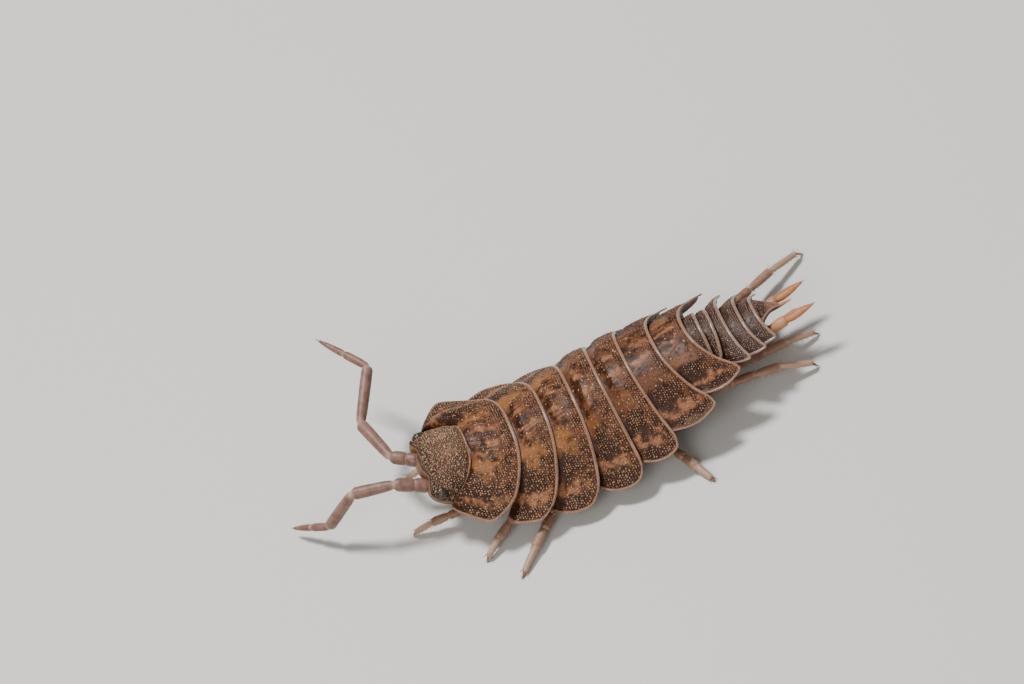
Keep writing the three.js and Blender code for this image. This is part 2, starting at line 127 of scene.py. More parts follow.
# Spots: place across (0 midline, 1 side), place along (0 to 1 of what shows), half sizes, strength
DARK_SPOTS = [
    (0.03, 0.2, 0.05, 0.3, 0.8),
    (0.17, 0.12, 0.06, 0.16, 0.8),
    (0.29, 0.4, 0.05, 0.26, 0.75),
    (0.5, 0.6, 0.06, 0.2, 0.55),
    (0.64, 0.26, 0.1, 0.34, 1.3),
    (0.92, 0.4, 0.07, 0.42, 1.1),
]
PALE_SPOTS = [
    (0.11, 0.42, 0.045, 0.22, 0.75),
    (0.24, 0.22, 0.04, 0.16, 0.6),
    (0.785, 0.36, 0.06, 0.28, 1.4),
]
OCHRE_SPOTS = [
    (0.43, 0.34, 0.12, 0.4, 1.1),
    (0.785, 0.36, 0.08, 0.3, 0.55),
]
OCHRE_SHARE = (0.7, 0.9, 0.85, 0.45, 0.3, 0.25, 0.4, 0, 0, 0, 0, 0)
STREAK_SHARE = (1.0, 0.9, 0.7, 0.4, 0.2, 0, 0, 0, 0, 0, 0, 0)
STREAK_SPACING = 0.055
MIDLINE_SHIFT = 0.09
PATCH_FINENESS = 1.7
FRAY_FINENESS = 5.1

# Head
HEAD_REAR = dict(half=1.84, ridge=2.86, edge=1.32, hind=1.97, sweep=-1.46, bow=3.5)
HEAD_FRONT = -0.06
HEAD_HALF = 1.74
HEAD_BOTTOM = 1.0
HEAD_GRAIN_SPACING = 0.084
HEAD_GRAIN = 0.036
HEAD_GRAIN_HEIGHT = 0.036
HEAD_WAVE_HEIGHT = 0.05
# Pale specks painted in on the head as glints (painted highlights)
HEAD_GLINT_SPACING = 0.13
HEAD_GLINT = 0.032
BROW_HEIGHT = 2.08
BROW_DROP = 0.32
LOBE_AT = 1.25
FACE_DEPTH = 0.42
FACE_SWELL = 0.17
FACE_ROWS = 26
SOCKET_AT = 0.64
EYE_AT = (1.43, 0.38, 1.74)
EYE_RADII = (0.22, 0.32, 0.26)
EYE_TURN = math.radians(-35)
LENSES = 70
LENS_ANGLE = 0.24

# Tail fan and gill flaps
TELSON = dict(root=0.98, tip=15.1, tip_half=0.1, tip_height=1.18, root_depth=0.5, tip_depth=0.12)
TELSON_SLOPE = 0.26
TELSON_GRAIN_SPACING = 0.09
TELSON_GRAIN = 0.03
TELSON_GRAIN_HEIGHT = 0.022
UROPOD = dict(root=(0.66, 14.5, 0.86), joint=(0.72, 14.95, 0.9), tip=(0.82, 16.2, 0.88))
ENDOPOD = dict(root=(0.5, 14.55, 0.8), tip=(0.34, 15.5, 0.82))
STALK_SIZE = (0.5, 0.42)
EXOPOD_SIZE = (0.46, 0.3)
ENDOPOD_SIZE = (0.22, 0.18)
UROPOD_HAIRS = 260
UROPOD_HAIR = dict(lengths=0.06, radius=0.006)
TUFT_HAIR = dict(lengths=0.17, radius=0.008)
STALK_SHAPE = [(-0.8, 0.6), (0, 0.9), (0.3, 1), (1, 0.96), (1.15, 0.7)]
EXOPOD_SHAPE = [(-0.06, 0.5), (0.05, 0.8), (0.25, 1), (0.5, 0.92), (0.78, 0.56), (0.94, 0.26), (1, 0.12)]
ENDOPOD_SHAPE = [(-0.1, 0.9), (0.3, 1), (0.75, 0.62), (1, 0.25)]
GILLS = dict(count=5, start=11.62, step=0.44, length=0.95, inner=0.08, widest=0.76, narrowest=0.42)
GILL_HEIGHT = 1.02
GILL_FALL = 0.29
GILL_THICKNESS = 0.05

# Legs: the articles from hip to claw, the spines by shortest length and spread of lengths, and the soles
# with the height of the knee above them
ARTICLE_SHARES = (0.27, 0.17, 0.13, 0.17, 0.19, 0.07)
ARTICLE_RADII = (0.22, 0.2, 0.19, 0.2, 0.145, 0.085)
ARTICLE_LIGHT = (0, 0, 0, 0.2, 0.55, 0)
ARTICLE_SHAPES = [
    [(0, 0.72), (0.3, 0.95), (0.8, 1.0), (1, 0.85)],
    [(0, 0.7), (0.5, 0.92), (0.85, 1.0), (1, 0.85)],
    [(0, 0.7), (0.5, 0.98), (0.85, 1.05), (1, 0.85)],
    [(0, 0.62), (0.4, 0.95), (0.85, 1.0), (1, 0.85)],
    [(0, 0.85), (0.4, 1.0), (0.85, 0.9), (1, 0.8)],
    [(0, 0.95), (0.3, 0.8), (0.8, 0.3), (1, 0.1)],
]
CLAW = 5
LEG_FLATNESS = 0.82
HIP_SHARE = 0.5
HIP_ALONG = 0.42
BASIS_HEIGHT = 0.4
SPINE_SPACING = 0.2
SPINE = (0.16, 0.05)
SPINE_RADIUS = 0.016
END_SPINE = (0.2, 0.07)
END_SPINE_RADIUS = 0.018
HAIRS_PER_MM = 40
FEET = {
    "left": [
        (0.25, -8.9, 0.9), (3.24, -6.74, 0.75), (4.84, -5.8, 0.45), (3.0, -1.0, 0.5),
        (4.86, 2.35, 0.5), (1.95, 7.85, 1.6), (0.41, 8.46, 1.1),
    ],
    "right": [
        (-2.6, -8.3, 0.9), (-4.3, -5.9, 0.8), (-4.9, -3.6, 0.7), (-4.4, 0.6, 0.8),
        (-4.2, 3.2, 0.8), (-3.3, 5.4, 0.9), (-3.88, 9.4, 1.3),
    ],
}

# Antennae: ends of the base, of articles 4 and 5 and of the whip
ANTENNA_ROOT = (0.64, 0.06, 1.42)
ANTENNAE = {
    "left": [(0.05, -8.55, 2.8), (-0.55, -10.15, 2.75), (-1.2, -11.6, 1.1), (-2.7, -13.05, 0.45)],
    "right": [(-1.5, -8.25, 2.65), (-3.6, -8.78, 2.9), (-5.7, -7.6, 3.45), (-7.95, -9.0, 3.9)],
}
# Each part: its name, its hairs as (from, to, away, count), and its articles as (from, to, radius, sides,
# shape), with from and to as shares of the part's length
ANTENNA_PARTS = [
    ("base", (0.3, 0.95, 0.216, 60), [
        (-0.06, 0.5, 0.28, 16, [(0, 1), (0.5, 1), (1, 0.95)]),
        (0.36, 1.04, 0.27, 16, [(0, 0.9), (0.3, 1), (0.7, 1), (1, 0.8)]),
    ]),
    ("article_4", (0.05, 0.97, 0.18, 90), [
        (-0.02, 1.02, 0.245, 16, [(0, 0.72), (0.25, 0.9), (0.7, 1), (0.93, 1.0), (1, 0.8)]),
    ]),
    ("article_5", (0.05, 0.97, 0.153, 120), [
        (-0.02, 1.01, 0.23, 16, [(0, 0.72), (0.2, 0.92), (0.7, 1), (0.94, 0.98), (1, 0.75)]),
    ]),
    ("flagellum", (0.03, 0.95, 0.09, 110), [
        (-0.01, 0.46, 0.165, 14, [(0, 0.75), (0.3, 1), (0.85, 0.98), (1, 0.8)]),
        (0.44, 0.96, 0.15, 14, [(0, 0.85), (0.15, 0.95), (0.6, 0.72), (0.9, 0.36), (1, 0.22)]),
        (0.93, 1.0, 0.035, 10, [(0, 0.9), (0.6, 0.6), (1, 0.2)]),
    ]),
]

# Hairs: shortest, longest, radius at the root, and how far they lean out from the limb
LEG_HAIR = (0.07, 0.12, 0.006, 0.5)
ANTENNA_HAIR = (0.042, 0.078, 0.007, 0.6)

# Camera: the photograph's viewing angle and framing, in its 1024 x 684 pixels
PHOTO_SIZE = (1024, 684)
AZIMUTH = math.radians(90.64)
ELEVATION = math.radians(45.12)
ROLL = math.radians(-27.35)
PIXELS_PER_MM = 26.37
MIDDLE_PIXEL = (601.5, 393.9)
MIDDLE_POINT = np.array([0.0, 0.0, 1.8 + LIFT])
DISTANCE = 180.0
SENSOR = 36.0

# Floor, and lights with their place, size and power, in metres and watts
FLOOR_HALF = 0.6
FLOOR_COLOUR = (0.62, 0.6, 0.57)
LIGHTS = [
    ("key", (-0.055, -0.035, 0.2), 0.045, 0.6),
    ("fill", (0.16, -0.08, 0.13), 0.16, 0.26),
]
LIGHTS_AIM = (0, 0, 0.002)
ROOM_COLOUR = (1, 0.98, 0.95)
ROOM_STRENGTH = 0.27

# Looks of the hard skin, and of the thin skin of limbs and gills
HARD_LOOKS = {
    "back_plate": dict(
        base=(0.13, 0.046, 0.02), dark=(0.022, 0.0055, 0.0015), pale=(0.29, 0.12, 0.055),
        ochre=(0.25, 0.1, 0.032), border=(0.33, 0.19, 0.13), grains=(0.44, 0.25, 0.145), specular=0.17,
    ),
    "tail_plate": dict(
        base=(0.05, 0.02, 0.013), dark=(0.016, 0.005, 0.003), pale=(0.22, 0.105, 0.062),
        ochre=(0.15, 0.06, 0.024), border=(0.33, 0.21, 0.155), grains=(0.36, 0.22, 0.145), specular=0.26,
    ),
    "head_shell": dict(
        base=(0.085, 0.036, 0.018), dark=(0.02, 0.007, 0.003), pale=(0.32, 0.16, 0.09),
        ochre=(0.17, 0.072, 0.03), border=(0.28, 0.145, 0.088), grains=(0.38, 0.23, 0.135), specular=0.24,
    ),
}
THIN_LOOKS = {
    "limb": dict(base=(0.27, 0.135, 0.085), dark=(0.15, 0.066, 0.04), pale=(0.5, 0.34, 0.25)),
    "antenna": dict(base=(0.24, 0.13, 0.098), dark=(0.125, 0.06, 0.045), pale=(0.44, 0.3, 0.23)),
    "uropod": dict(base=(0.46, 0.19, 0.075), dark=(0.3, 0.105, 0.035), pale=(0.5, 0.31, 0.2)),
    "gill": dict(base=(0.48, 0.36, 0.26), dark=(0.3, 0.2, 0.14), pale=(0.58, 0.47, 0.36)),
}
# Colour of the painted glints: pale specks that stand in for highlights
GLINT_COLOUR = (0.66, 0.46, 0.3)
SKIN_ROUGHNESS = 0.45
BORDER_ROUGHNESS = 0.24
GRAIN_ROUGHNESS = 0.15


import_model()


def mix(a, b, t):
    return a + (b - a) * t


def smoothstep(x, low, high):
    t = np.clip((x - low) / (high - low), 0, 1)
    return t * t * (3 - 2 * t)


def bell(x, at, wide):
    """1 where x is at, and close to 0 from two widths away."""
    return np.exp(-(((x - at) / wide) ** 2))


def unit(way):
    return way / np.linalg.norm(way, axis=-1, keepdims=True)


def crowded(count, bend):
    """Places from -1 to 1 that lie closer together towards both ends."""
    return np.sin(np.linspace(-1, 1, count) * bend) / math.sin(bend)


def angles_round(count, offset=0.0):
    return (np.arange(count) + offset) * 2 * math.pi / count


def on_body(x, s, z):
    """Places on the body, carried to where the bent and twisted body has them, in millimetres."""
    x, s, z = np.broadcast_arrays(x, s, z)
    x = x - HEAD_ASIDE * (1 - smoothstep(s, ASIDE_TO, ASIDE_FROM))
    along = s - MIDDLE
    roll = TWIST * along
    pitch = CURVE * along
    rise = z - AXIS_HEIGHT
    up = x * np.sin(roll) + rise * np.cos(roll)
    place = np.stack(
        [
            x * np.cos(roll) - rise * np.sin(roll),
            np.sin(pitch) / CURVE - up * np.sin(pitch),
            (1 - np.cos(pitch)) / CURVE + up * np.cos(pitch) + AXIS_HEIGHT + LIFT,
        ],
        -1,
    )
    return place + PLACE


def on_side(sign, at):
    """A place on the body's left (sign 1) or right (sign -1)."""
    return on_body(sign * at[0], at[1], at[2])


def world(point):
    return np.array(point, float) + PLACE


# Random numbers that depend only on a cell's place


def hashed(i, j, seed):
    n = np.sin(i * 127.1 + j * 311.7 + seed * 74.7) * 43758.5453
    return n - np.floor(n)


def granules(u, w, spacing, size, seed, keep=1.0, jitter=0.5):
    """Rounded grains over a surface with lengths u and w: 0 to about 1 for the height of the nearest one.
    keep is the share of the places that hold a grain."""
    a = u / spacing
    b = w / spacing
    i = np.floor(a)
    j = np.floor(b)
    best = np.zeros_like(a)
    for di in (-1, 0, 1):
        for dj in (-1, 0, 1):
            ci = i + di
            cj = j + dj
            stagger = 0.5 * np.mod(cj, 2)
            away = np.hypot(
                a - ci - 0.25 - stagger - jitter * (hashed(ci, cj, seed) - 0.5),
                b - cj - 0.5 - jitter * (hashed(ci, cj, seed + 1) - 0.5),
            )
            big = (0.7 + 0.5 * hashed(ci, cj, seed + 2)) * (hashed(ci, cj, seed + 3) < keep)
            dome = np.sqrt(np.clip(1 - (away * spacing / (size * np.maximum(big, 0.01))) ** 2, 0, 1))
            best = np.maximum(best, dome * big)
    return best


def waves(u, w, fineness, seed, shift=0):
    """Smooth noise from -0.5 to 0.5 over a surface with lengths u and w, fineness cells to the mm."""
    a = u * fineness + shift
    b = w * fineness
    i = np.floor(a)
    j = np.floor(b)
    fa = smoothstep(a - i, 0, 1)
    fb = smoothstep(b - j, 0, 1)
    low = mix(hashed(i, j, seed), hashed(i + 1, j, seed), fa)
    high = mix(hashed(i, j + 1, seed), hashed(i + 1, j + 1, seed), fa)
    return mix(low, high, fb) - 0.5


# Meshes


class Skin:
    """Collects closed lofts and spikes, with a number for each mark at each point, into one mesh."""

    def __init__(self):
        self.points = []
        self.faces = []
        self.marks = []
        self.count = 0

    def add(self, points, faces, marks):
        self.points.append(points)
        self.faces.extend((faces + self.count).tolist())
        self.marks.append({key: np.broadcast_to(value, (len(points),)) for key, value in marks.items()})
        self.count += len(points)

    def loft(self, rings, **marks):
        """A closed skin over rings, an array of shape (rings, points round, 3), with its ends filled."""
        turns, sides = rings.shape[:2]
        points = rings.reshape(-1, 3)
        a = np.arange(turns * sides).reshape(turns, sides)
        b = np.roll(a, -1, 1)
        faces = np.stack([a[:-1], b[:-1], b[1:], a[1:]], -1).reshape(-1, 4)
        first, second, third = (points[faces[:, k]] for k in range(3))
        normal = np.cross(second - first, third - first)
        if ((first - rings.mean((0, 1))) * normal).sum() < 0:
            faces = faces[:, ::-1]
            ends = [a[0].tolist(), a[-1][::-1].tolist()]
        else:
            ends = [a[0][::-1].tolist(), a[-1].tolist()]
        flat = {key: np.broadcast_to(value, rings.shape[:2]).reshape(-1) for key, value in marks.items()}
        base = self.count
        self.add(points, faces, flat)
        self.faces.extend([[k + base for k in end] for end in ends])

    def spikes(self, roots, ways, lengths, radius, **marks):
        """Tapered four-sided bristles, straight and pointed, sunk a little at the root."""
        roots = np.asarray(roots, float).reshape(-1, 3)
        ways = unit(np.asarray(ways, float).reshape(-1, 3))
        lengths = np.broadcast_to(lengths, (len(roots),))[:, None]
        side = unit(np.cross(ways, [0.31, 0.57, 0.76]))
        other = np.cross(ways, side)
        base = roots - ways * 0.03
        corners = [base + way * radius for way in (side, other, -side, -other)]
        tip = roots + ways * lengths
        points = np.stack([*corners, tip], 1).reshape(-1, 3)
        start = np.arange(len(roots))[:, None] * 5
        triangles = ((0, 1, 4), (1, 2, 4), (2, 3, 4), (3, 0, 4), (0, 3, 2), (0, 2, 1))
        self.add(points, np.concatenate([start + np.array(three) for three in triangles]), marks)

    def piece(self, name, slot, *nodes):
        """Makes the mesh, with what would reach below the floor pressed flat on it."""
        points = np.concatenate(self.points) * MM
        points[:, 2] = np.maximum(points[:, 2], 0)
        mesh = bpy.data.meshes.new(name)
        mesh.from_pydata(points.tolist(), [], self.faces)
        for key in sorted({key for marks in self.marks for key in marks}):
            values = [marks.get(key, np.zeros(len(part))) for marks, part in zip(self.marks, self.points)]
            data = mesh.attributes.new(key, "FLOAT", "POINT")
            data.data.foreach_set("value", np.concatenate(values).astype(np.float32))
        mesh.shade_smooth()
        mesh.materials.append(MATERIALS[slot])
        piece = bpy.data.objects.new(name, mesh)
        bpy.context.scene.collection.objects.link(piece)
        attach(piece, "root")
        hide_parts(*nodes)


def length_across(x, z):
    """Lengths over a surface grid, across it from its middle row."""
    length = np.cumsum(np.hypot(np.gradient(x, axis=0), np.gradient(z, axis=0)), axis=0)
    return length - length[len(length) // 2]


def raised(surface, height):
    """A surface grid with each point moved out along its normal."""
    normal = unit(np.cross(np.gradient(surface, axis=0), np.gradient(surface, axis=1)))
    return surface + normal * height[..., None]


def with_blank(marks, rows):
    """Marks of a top side, with zeros for the rows of points that close the ring under it."""
    return {key: np.concatenate([value, np.zeros((len(value), rows))], 1) for key, value in marks.items()}


# Materials


class Nodes:
    """A material's node tree, written from left to right."""

    def __init__(self, name):
        self.material = bpy.data.materials.new(name)
        self.material.use_nodes = True
        self.tree = self.material.node_tree
        self.shader = self.tree.nodes["Principled BSDF"]

    def set(self, socket, value):
        if isinstance(value, bpy.types.NodeSocket):
            self.tree.links.new(value, socket)
        elif isinstance(value, tuple) and len(value) == 3 and len(socket.default_value) == 4:
            socket.default_value = (*value, 1)
        else:
            socket.default_value = value

    def node(self, kind, inputs, **settings):
        """A node with its settings, and its inputs set to a value or linked to another node's output."""
        made = self.tree.nodes.new(kind)
        for key, value in settings.items():
            setattr(made, key, value)
        for key, value in inputs.items():
            self.set(made.inputs[key], value)
        return made

    def attribute(self, name):
        return self.node("ShaderNodeAttribute", {}, attribute_name=name).outputs["Fac"]

    def place(self):
        """Object coordinates in millimetres."""
        coordinate = self.node("ShaderNodeTexCoord", {}).outputs["Object"]
        scaled = self.node("ShaderNodeVectorMath", {0: coordinate, "Scale": 1 / MM}, operation="SCALE")
        return scaled.outputs[0]

    def noise(self, scale, detail=3.0, roughness=0.55):
        inputs = {"Vector": self.place(), "Scale": scale, "Detail": detail, "Roughness": roughness}
        return self.node("ShaderNodeTexNoise", inputs).outputs["Fac"]

    def ramp(self, value, low, high, start=0.0, end=1.0):
        inputs = {"Value": value, "From Min": low, "From Max": high, "To Min": start, "To Max": end}
        return self.node("ShaderNodeMapRange", inputs, interpolation_type="SMOOTHSTEP").outputs["Result"]

    def math(self, operation, a, b):
        return self.node("ShaderNodeMath", {0: a, 1: b}, operation=operation).outputs[0]

    def mottled(self, mark, noise, strength):
        """A painted mark with noise added, so that its edge frays and it breaks up."""
        around = self.math("MULTIPLY", self.math("SUBTRACT", noise, 0.5), strength)
        return self.math("ADD", self.attribute(mark), around)

    def blend(self, factor, a, b):
        made = self.node("ShaderNodeMix", {"Factor": factor, "A": a, "B": b}, data_type="RGBA")
        return made.outputs["Result"]

    def bump(self, height, strength, distance):
        inputs = {"Height": height, "Strength": strength, "Distance": distance * MM}
        self.set(self.shader.inputs["Normal"], self.node("ShaderNodeBump", inputs).outputs["Normal"])

    def finish(self, colour, roughness, subsurface=0.0, radius=(0.3, 0.16, 0.09)):
        self.set(self.shader.inputs["Base Color"], colour)
        self.set(self.shader.inputs["Roughness"], roughness)
        self.set(self.shader.inputs["Subsurface Weight"], subsurface)
        self.set(self.shader.inputs["Subsurface Radius"], radius)
        self.set(self.shader.inputs["Subsurface Scale"], 0.4 * MM)
        return self.material


def hard_skin(name, base, dark, pale, ochre, border, grains, specular):
    """Hard back skin: mottled, with painted marks, pale grains, a pale smooth border and pale specks painted
    in as glints (painted highlights).
    """
    n = Nodes(name)
    broad = n.noise(1.7, 3)
    mottle = n.noise(3.6, 5, 0.65)
    fine = n.noise(15.0, 3)
    grain = n.attribute("grain")
    shade = n.mottled("dark", mottle, 2.6)
    light = n.mottled("pale", mottle, -1.2)
    warm = n.mottled("ochre", broad, 1.6)
    colour = n.blend(n.ramp(broad, 0.35, 0.65), base, tuple(c * 0.75 for c in base))
    colour = n.blend(n.ramp(warm, 0.2, 1.0), colour, ochre)
    colour = n.blend(n.ramp(light, 0.25, 1.0), colour, pale)
    colour = n.blend(n.ramp(n.attribute("streak"), 0.1, 0.9, 0.0, 0.5), colour, pale)
    colour = n.blend(n.ramp(shade, 0.15, 1.05, 0.0, 0.95), colour, dark)
    colour = n.blend(n.ramp(fine, 0.42, 0.7, 0.0, 0.35), colour, dark)
    rim = n.ramp(n.attribute("border"), 0.1, 0.9, 0.0, 0.8)
    rim = n.math("MULTIPLY", rim, n.ramp(fine, 0.3, 0.6, 0.5, 1.0))
    colour = n.blend(rim, colour, border)
    colour = n.blend(n.ramp(grain, 0.3, 0.9, 0.0, 0.62), colour, grains)
    # Painted highlights: pale specks where the glint mark lies
    colour = n.blend(n.ramp(n.attribute("glint"), 0.4, 1.0, 0.0, 0.7), colour, GLINT_COLOUR)
    n.bump(n.noise(30.0, 3), 0.25, 0.008)
    gloss = n.blend(n.attribute("border"), (SKIN_ROUGHNESS,) * 3, (BORDER_ROUGHNESS,) * 3)
    gloss = n.blend(grain, gloss, (GRAIN_ROUGHNESS,) * 3)
    n.shader.inputs["Specular IOR Level"].default_value = specular
    return n.finish(colour, gloss, 0.1, (0.25, 0.12, 0.07))


def thin_skin(name, base, dark, pale):
    """Thin translucent skin, paler at the joints."""
    n = Nodes(name)
    colour = n.blend(n.ramp(n.noise(4.2, 4), 0.35, 0.68, 0.1, 0.75), base, dark)
    colour = n.blend(n.attribute("joint"), colour, pale)
    n.bump(n.noise(16.0, 3), 0.45, 0.02)
    n.shader.inputs["Specular IOR Level"].default_value = 0.35
    return n.finish(colour, 0.46, 0.35)


def eye_finish(name):
    n = Nodes(name)
    colour = n.blend(n.ramp(n.noise(14.0, 1), 0.4, 0.7), (0.02, 0.01, 0.006), (0.07, 0.036, 0.02))
    return n.finish(colour, 0.22)


MATERIALS = {name: hard_skin(name, **look) for name, look in HARD_LOOKS.items()}
MATERIALS.update({name: thin_skin(name, **look) for name, look in THIN_LOOKS.items()})
MATERIALS["eye"] = eye_finish("eye")


# Back plates


def arch(plate, share):
    """Height of the back at a share of its half width, before the body is bent."""
    share = np.abs(share)
    return plate["edge"] + (plate["ridge"] - plate["edge"]) * (1 - 1.12 * share**2 + 0.12 * share**6)


def hind_margin(plate, x):
    share = np.minimum(1, np.abs(x) / plate["half"])
    return plate["hind"] + plate["sweep"] * share ** plate["bow"]


def before_plate(index):
    return PLATES[index - 1] if index else HEAD_REAR


def belly_height(index):
    return mix(before_plate(index)["edge"], PLATES[index]["edge"], 0.5) + BELLY_RISE


def overlap_of(index):
    """How far a plate reaches over the next one."""
    return BACK_OVERLAP if index + 1 < FIRST_PLEONITE else TAIL_OVERLAP


def plate_marks(index, q, seen, u, w, edge):
    """Markings of a back plate: q runs across from -1 to 1, seen from 0 at the margin of the plate before
    to 1 at its own, u and w are lengths over it, and edge is the distance to the free margin."""
    seed = index * 7.0
    patch_across = waves(u, w, PATCH_FINENESS, seed)
    patch_along = waves(u, w, PATCH_FINENESS, seed + 3, 9)
    fray_across = waves(u, w, FRAY_FINENESS, seed + 1)
    fray_along = waves(u, w, FRAY_FINENESS, seed + 4, 9)
    side = np.abs(q - MIDLINE_SHIFT * (1 - q * q)) + 0.09 * patch_across + 0.045 * fray_across
    along = seen + 0.42 * patch_along + 0.24 * fray_along

    def painted(spots):
        total = np.zeros_like(side)
        for at, place, wide, long, strength in spots:
            away = np.hypot((side - at) / wide, (along - place) / long)
            total = np.maximum(total, strength * np.clip(1.45 - 0.7 * away, 0, 1))
        return total

    tail = index >= FIRST_PLEONITE
    dark = painted(DARK_SPOTS) * (0.4 if tail else 1)
    if index == 0:
        dark = np.maximum(dark, 0.7 * smoothstep(np.abs(q), 0.55, 0.75))
    band = smoothstep(along, 0.55, 0.8) * smoothstep(edge, 0.07, 0.13)
    dark = np.maximum(dark, (0.62 + 0.5 * fray_across) * band)
    pale = painted(PALE_SPOTS) * (0.2 if tail else 1)
    ochre = painted(OCHRE_SPOTS) * OCHRE_SHARE[index]
    stripe = np.cos((side + 0.03 * (seen - 0.4)) * 2 * math.pi / STREAK_SPACING) * 0.5 + 0.5
    group = np.clip(1.3 - np.hypot((np.abs(q) - 0.2) / 0.16, (seen - 0.42) / 0.3), 0, 1)
    streak = STREAK_SHARE[index] * smoothstep(stripe * group, 0.3, 0.75)
    border = smoothstep(-edge, -BORDER_END, -BORDER_FULL)
    return dict(dark=dark, pale=pale, ochre=ochre, streak=streak, border=border)


class BackPlate:
    """A back plate on a grid: q runs across from -1 to 1, t from its front to its hind margin."""

    def __init__(self, index):
        self.index = index
        self.plate = PLATES[index]
        self.before = before_plate(index)
        self.tail = index >= FIRST_PLEONITE
        self.tucked = index > 0
        self.overlap_before = overlap_of(index - 1) if self.tucked else 0
        self.lay_out()

    def front_margin(self, x):
        return hind_margin(self.before, x) - self.overlap_before + GAP

    def wide_at(self, t):
        """Half width, before the hind corners are drawn in."""
        plate = self.plate
        flare = 1.0 if self.tucked else FIRST_FLARE
        swell = plate["bulge"] / 2 * np.sin(t * math.pi)
        return mix(plate["front"], plate["half"], np.sin(t**flare * math.pi / 2)) + swell

    def half_at(self, t):
        corner = self.plate["corner"]
        corner_share = 0.1 + 0.45 * corner
        drawn_in = corner * (1 if self.tucked else FIRST_CORNER)
        into_corner = np.clip((t - 1 + corner_share) / corner_share, 0, 1)
        return self.wide_at(t) - drawn_in * (1 - np.sqrt(1 - into_corner**2))

    def rounded(self, q, t):
        """The grid with its hind corners drawn in to quarter circles, and the distance to those."""
        half = self.plate["half"]
        fillet = TAIL_FILLET if self.tail else BACK_FILLET if self.tucked else FIRST_FILLET
        side_share = fillet / half
        rear_share = fillet / (hind_margin(self.plate, half) - self.front_margin(half))
        out = np.clip((np.abs(q) - 1 + side_share) / side_share, 0, 1)
        back = np.clip((t - 1 + rear_share) / rear_share, 0, 1)
        out_round = out * np.sqrt(1 - back**2 / 2)
        back_round = back * np.sqrt(1 - out**2 / 2)
        q = np.sign(q) * (np.abs(q) + side_share * (out_round - out))
        t = t + rear_share * (back_round - back)
        to_corner = np.where((out > 0) & (back > 0), fillet * (1 - np.hypot(out_round, back_round)), 1.0)
        return q, t, to_corner

    def lay_out(self):
        """Places of the grid's points, what shows of the plate, and the distances to its margins."""
        plate = self.plate
        before = self.before
        shown = plate["hind"] - before["hind"]
        across = int(2.45 * plate["half"] / FINENESS) | 1
        self.along = int((shown + self.overlap_before + 0.25) / FINENESS)
        self.share = crowded(across, 1.25)
        t = np.linspace(0, 1, self.along)
        t = mix(t, np.sin(t * math.pi / 2), 0.35)
        q, t, to_corner = self.rounded(*np.meshgrid(self.share, t, indexing="ij"))
        x = q * self.half_at(t)
        rear = hind_margin(plate, x)
        front = self.front_margin(x)
        s = mix(front, rear, t)
        drop = plate["bulge"] / 2 * smoothstep(np.abs(q), 0.55, 1)
        own = arch(plate, x / self.wide_at(t)) + (0.03 - drop) * np.sin(math.pi * t)
        if self.tucked:
            under = arch(before, np.minimum(1, np.abs(x) / before["half"])) - LIP - GAP
            covered = self.overlap_before / (rear - front)
            z = mix(np.minimum(under, own), own, smoothstep(t, covered, covered + 0.3))
        else:
            covered = np.zeros_like(t)
            z = mix(arch(before, q), own, t**0.7) - 0.06 * (1 - t) ** 6
        z = z - RIM_DIP * bell(np.abs(q), 0.8, 0.09) * (0 if self.tail else 1)
        self.q, self.x, self.s, self.z = q, x, s, z
        self.seen = np.clip((t - covered) / (1 - covered), 0, 1)
        self.u = length_across(x, z)
        self.to_side = self.u[-1] - np.abs(self.u)
        self.to_rear = rear - s
        self.edge = np.minimum(np.minimum(np.maximum(self.to_side, 0), self.to_rear), to_corner)

    def grains(self, pale):
        """Grains, dense on the side lobes and along the hind margin and sparse in the pale spots."""
        seed = self.index * 3 + 1.0
        if self.tail:
            crowd = 0.55 + 0.45 * smoothstep(self.seen, 0.3, 0.6)
            return granules(self.u, self.s, TAIL_GRAIN_SPACING, TAIL_GRAIN, seed, crowd, 0.4)
        side = np.abs(self.q)
        crowd = np.maximum(smoothstep(side, 0.5, 0.68), smoothstep(self.seen, 0.6, 0.72))
        crowd = np.clip(0.34 + 0.66 * crowd - 0.6 * pale, 0.12, 1)
        size = mix(MIDDLE_GRAIN, SIDE_GRAIN, smoothstep(side, 0.5, 0.7))
        size = size * (1 - 0.07 * max(0, self.index - 3))
        return granules(self.u, self.s, GRAIN_SPACING, size, seed, crowd, 0.4)

    def top(self):
        """The upper side with its relief, and its marks."""
        index, u, s, edge = self.index, self.u, self.s, self.edge
        side = np.abs(self.q)
        rise = smoothstep(self.seen, 0.0, 0.25)
        bare = smoothstep(edge, 0.08, 0.12)
        marks = plate_marks(index, self.q, self.seen, u, s, edge)
        bumps = self.grains(marks["pale"]) * bare * mix(0.35, 1.0, rise)
        # Painted glints: sparse pale specks that stand in for highlights, in the colour only
        glint = granules(u, s, GLINT_SPACING, GLINT, index * 3 + 20.0, GLINT_SHARE, 0.9)
        glint = glint * bare * smoothstep(side, 0.75, 0.55)
        row = bell(self.to_rear, BEAD_INSET, 0.025) * smoothstep(np.abs(self.to_side), 0.1, 0.2)
        beads = granules(u, np.zeros_like(u), BEAD_SPACING, BEAD, index * 3 + 40.0, 1.0, 0.2) * row
        wave = WAVE_HEIGHT * waves(u, s, 2.2, index + 60.0)
        ripple = RIPPLE_HEIGHT * waves(u, s, 6.5, index + 80.0)
        height = GRAIN_HEIGHT * bumps + BEAD_HEIGHT * beads
        height = height + (wave + ripple) * rise * smoothstep(edge, 0.1, 0.3)
        height = height + STREAK_HEIGHT * marks["streak"] * rise
        height = height + BORDER_HEIGHT * bell(edge, 0.04, 0.04) - 0.01 * bell(edge, 0.12, 0.03)
        marks["grain"] = np.maximum(bumps, 0.8 * beads)
        marks["glint"] = glint * (0.4 if self.tail else 1)
        return raised(on_body(self.x, s, self.z), height), marks

